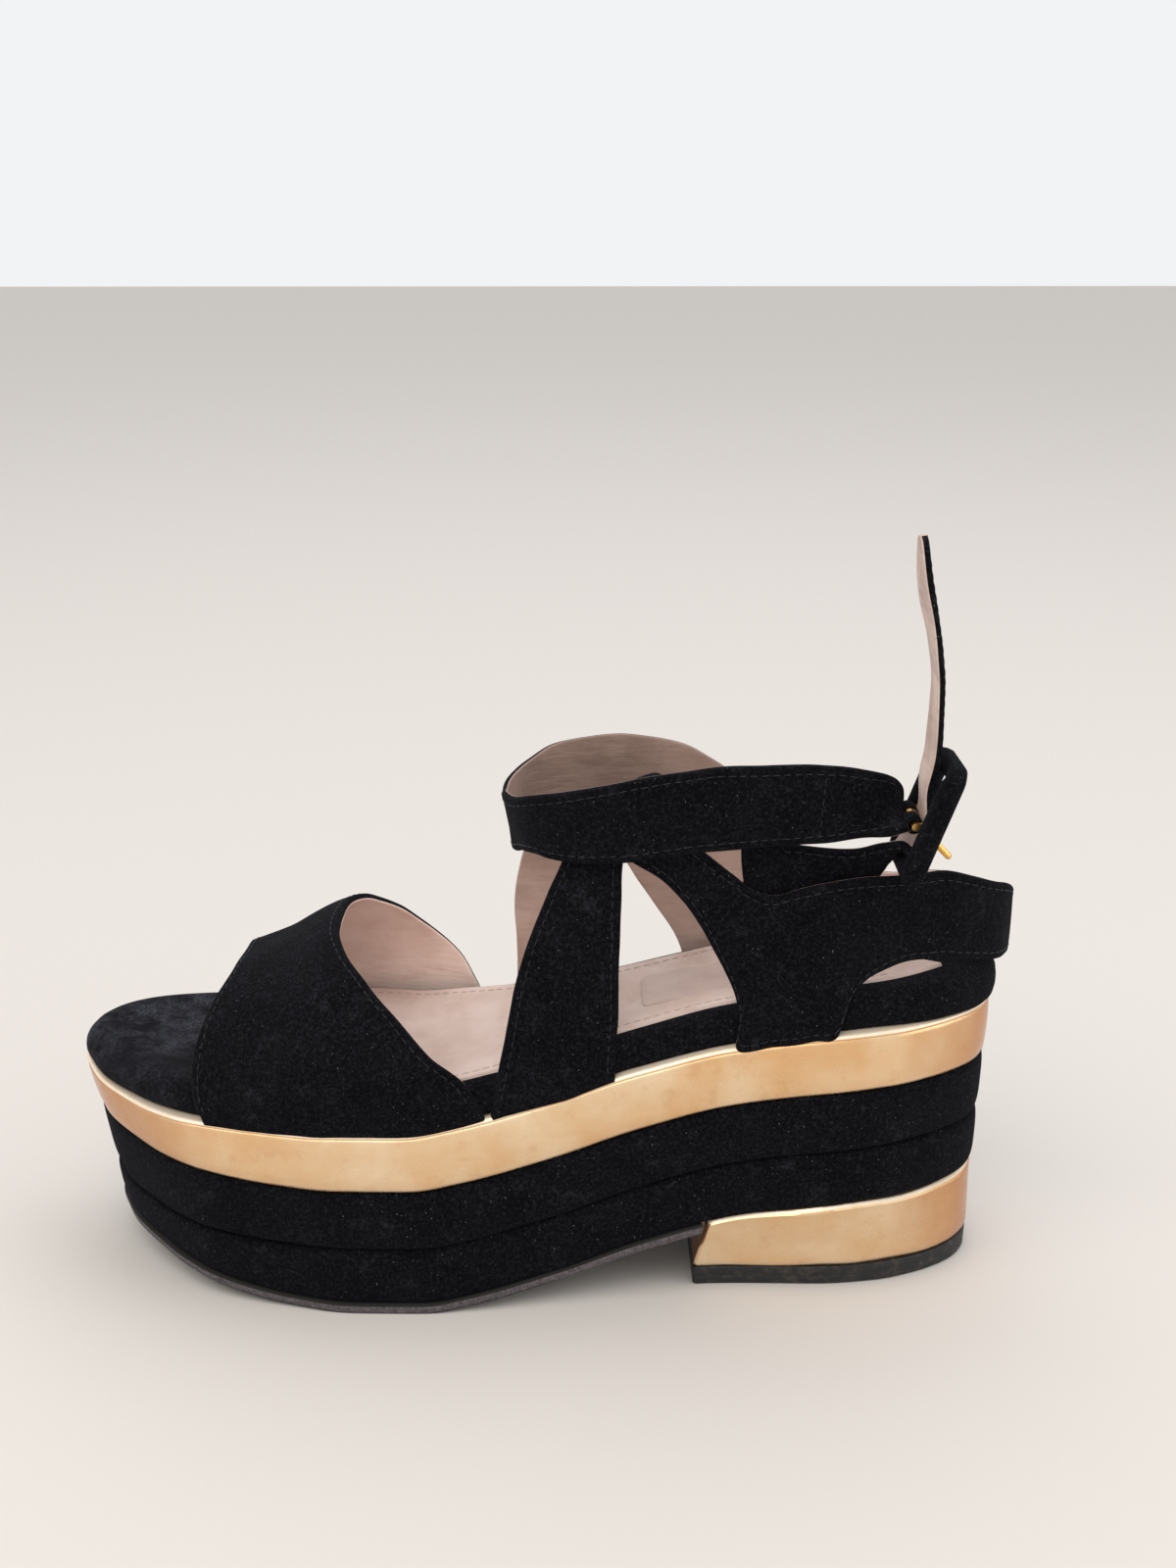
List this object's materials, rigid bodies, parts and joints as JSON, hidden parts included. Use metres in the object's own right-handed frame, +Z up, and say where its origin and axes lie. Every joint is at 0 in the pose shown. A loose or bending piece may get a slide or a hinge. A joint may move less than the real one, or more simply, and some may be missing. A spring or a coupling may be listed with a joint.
{
  "type": "platform sandal",
  "caption": "Left open-toe platform sandal with a wide vamp strap, crossed quarter straps, a buckled ankle strap, a layered suede and metallic leather platform and a low block heel.",
  "frame": {"origin": "on the floor, under the centre of the whole shoe's bounding box", "axes": "+Z up; the toe points to -X and the heel to +X; -Y is the lateral (outer) side and +Y the medial side"},
  "size_m": [0.2586, 0.0856, 0.209],
  "materials": {
    "lift_rubber": "matt black moulded rubber with light scuffs",
    "gold_leather": "metallic rose gold leather, softly glossy",
    "outsole_rubber": "dark rubber sheet, worn greyish at its edge",
    "black_suede": "black suede with a soft nap",
    "nude_leather": "smooth pale pink lining leather",
    "gold_metal": "polished gold-coloured plating"
  },
  "bodies": {
    "root": {"top_lift": "lift_rubber", "heel_block": "gold_leather", "outsole": "outsole_rubber", "platform_lower": "black_suede", "platform_upper": "black_suede", "midsole_band": "gold_leather", "footbed": "black_suede", "sock": "nude_leather", "vamp_strap": "black_suede", "cross_straps": "black_suede", "ankle_strap": "black_suede", "tip_strap": "black_suede", "buckle_frame": "black_suede", "buckle_bar": "gold_metal", "buckle_prong": "gold_metal"}
  },
  "joints": []
}
